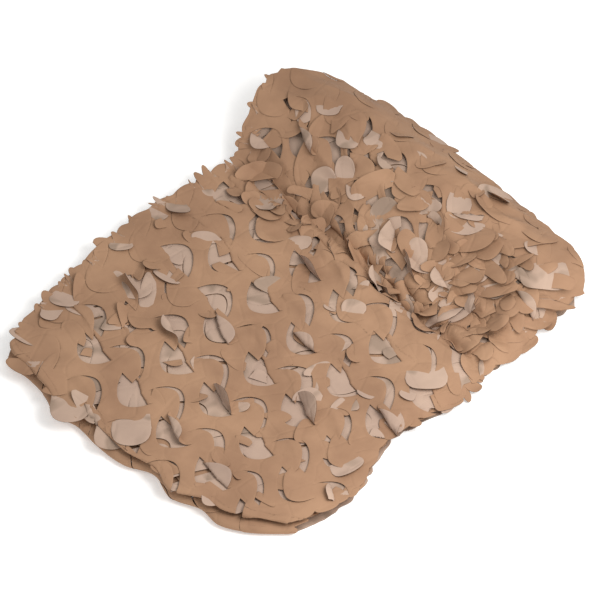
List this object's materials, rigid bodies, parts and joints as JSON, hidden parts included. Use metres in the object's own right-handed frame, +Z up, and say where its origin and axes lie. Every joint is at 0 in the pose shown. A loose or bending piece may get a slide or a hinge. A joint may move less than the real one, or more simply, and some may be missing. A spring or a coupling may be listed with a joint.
{
  "type": "folded camouflage netting",
  "caption": "Leaf-cut camouflage net, folded back and forth and laid down with one end thrown up in a loose roll.",
  "frame": {"origin": "on the flat underside, at the middle of the folded bundle", "axes": "+X from the flat end, with its fold edges, to the rolled end; +Y to the far cut edge; +Z up"},
  "size_m": [1.0748, 0.8164, 0.1191],
  "materials": {
    "net_cloth": "matt coated tan cloth, paler on its reverse"
  },
  "bodies": {
    "root": {"net_cloth": "net_cloth"}
  },
  "joints": []
}
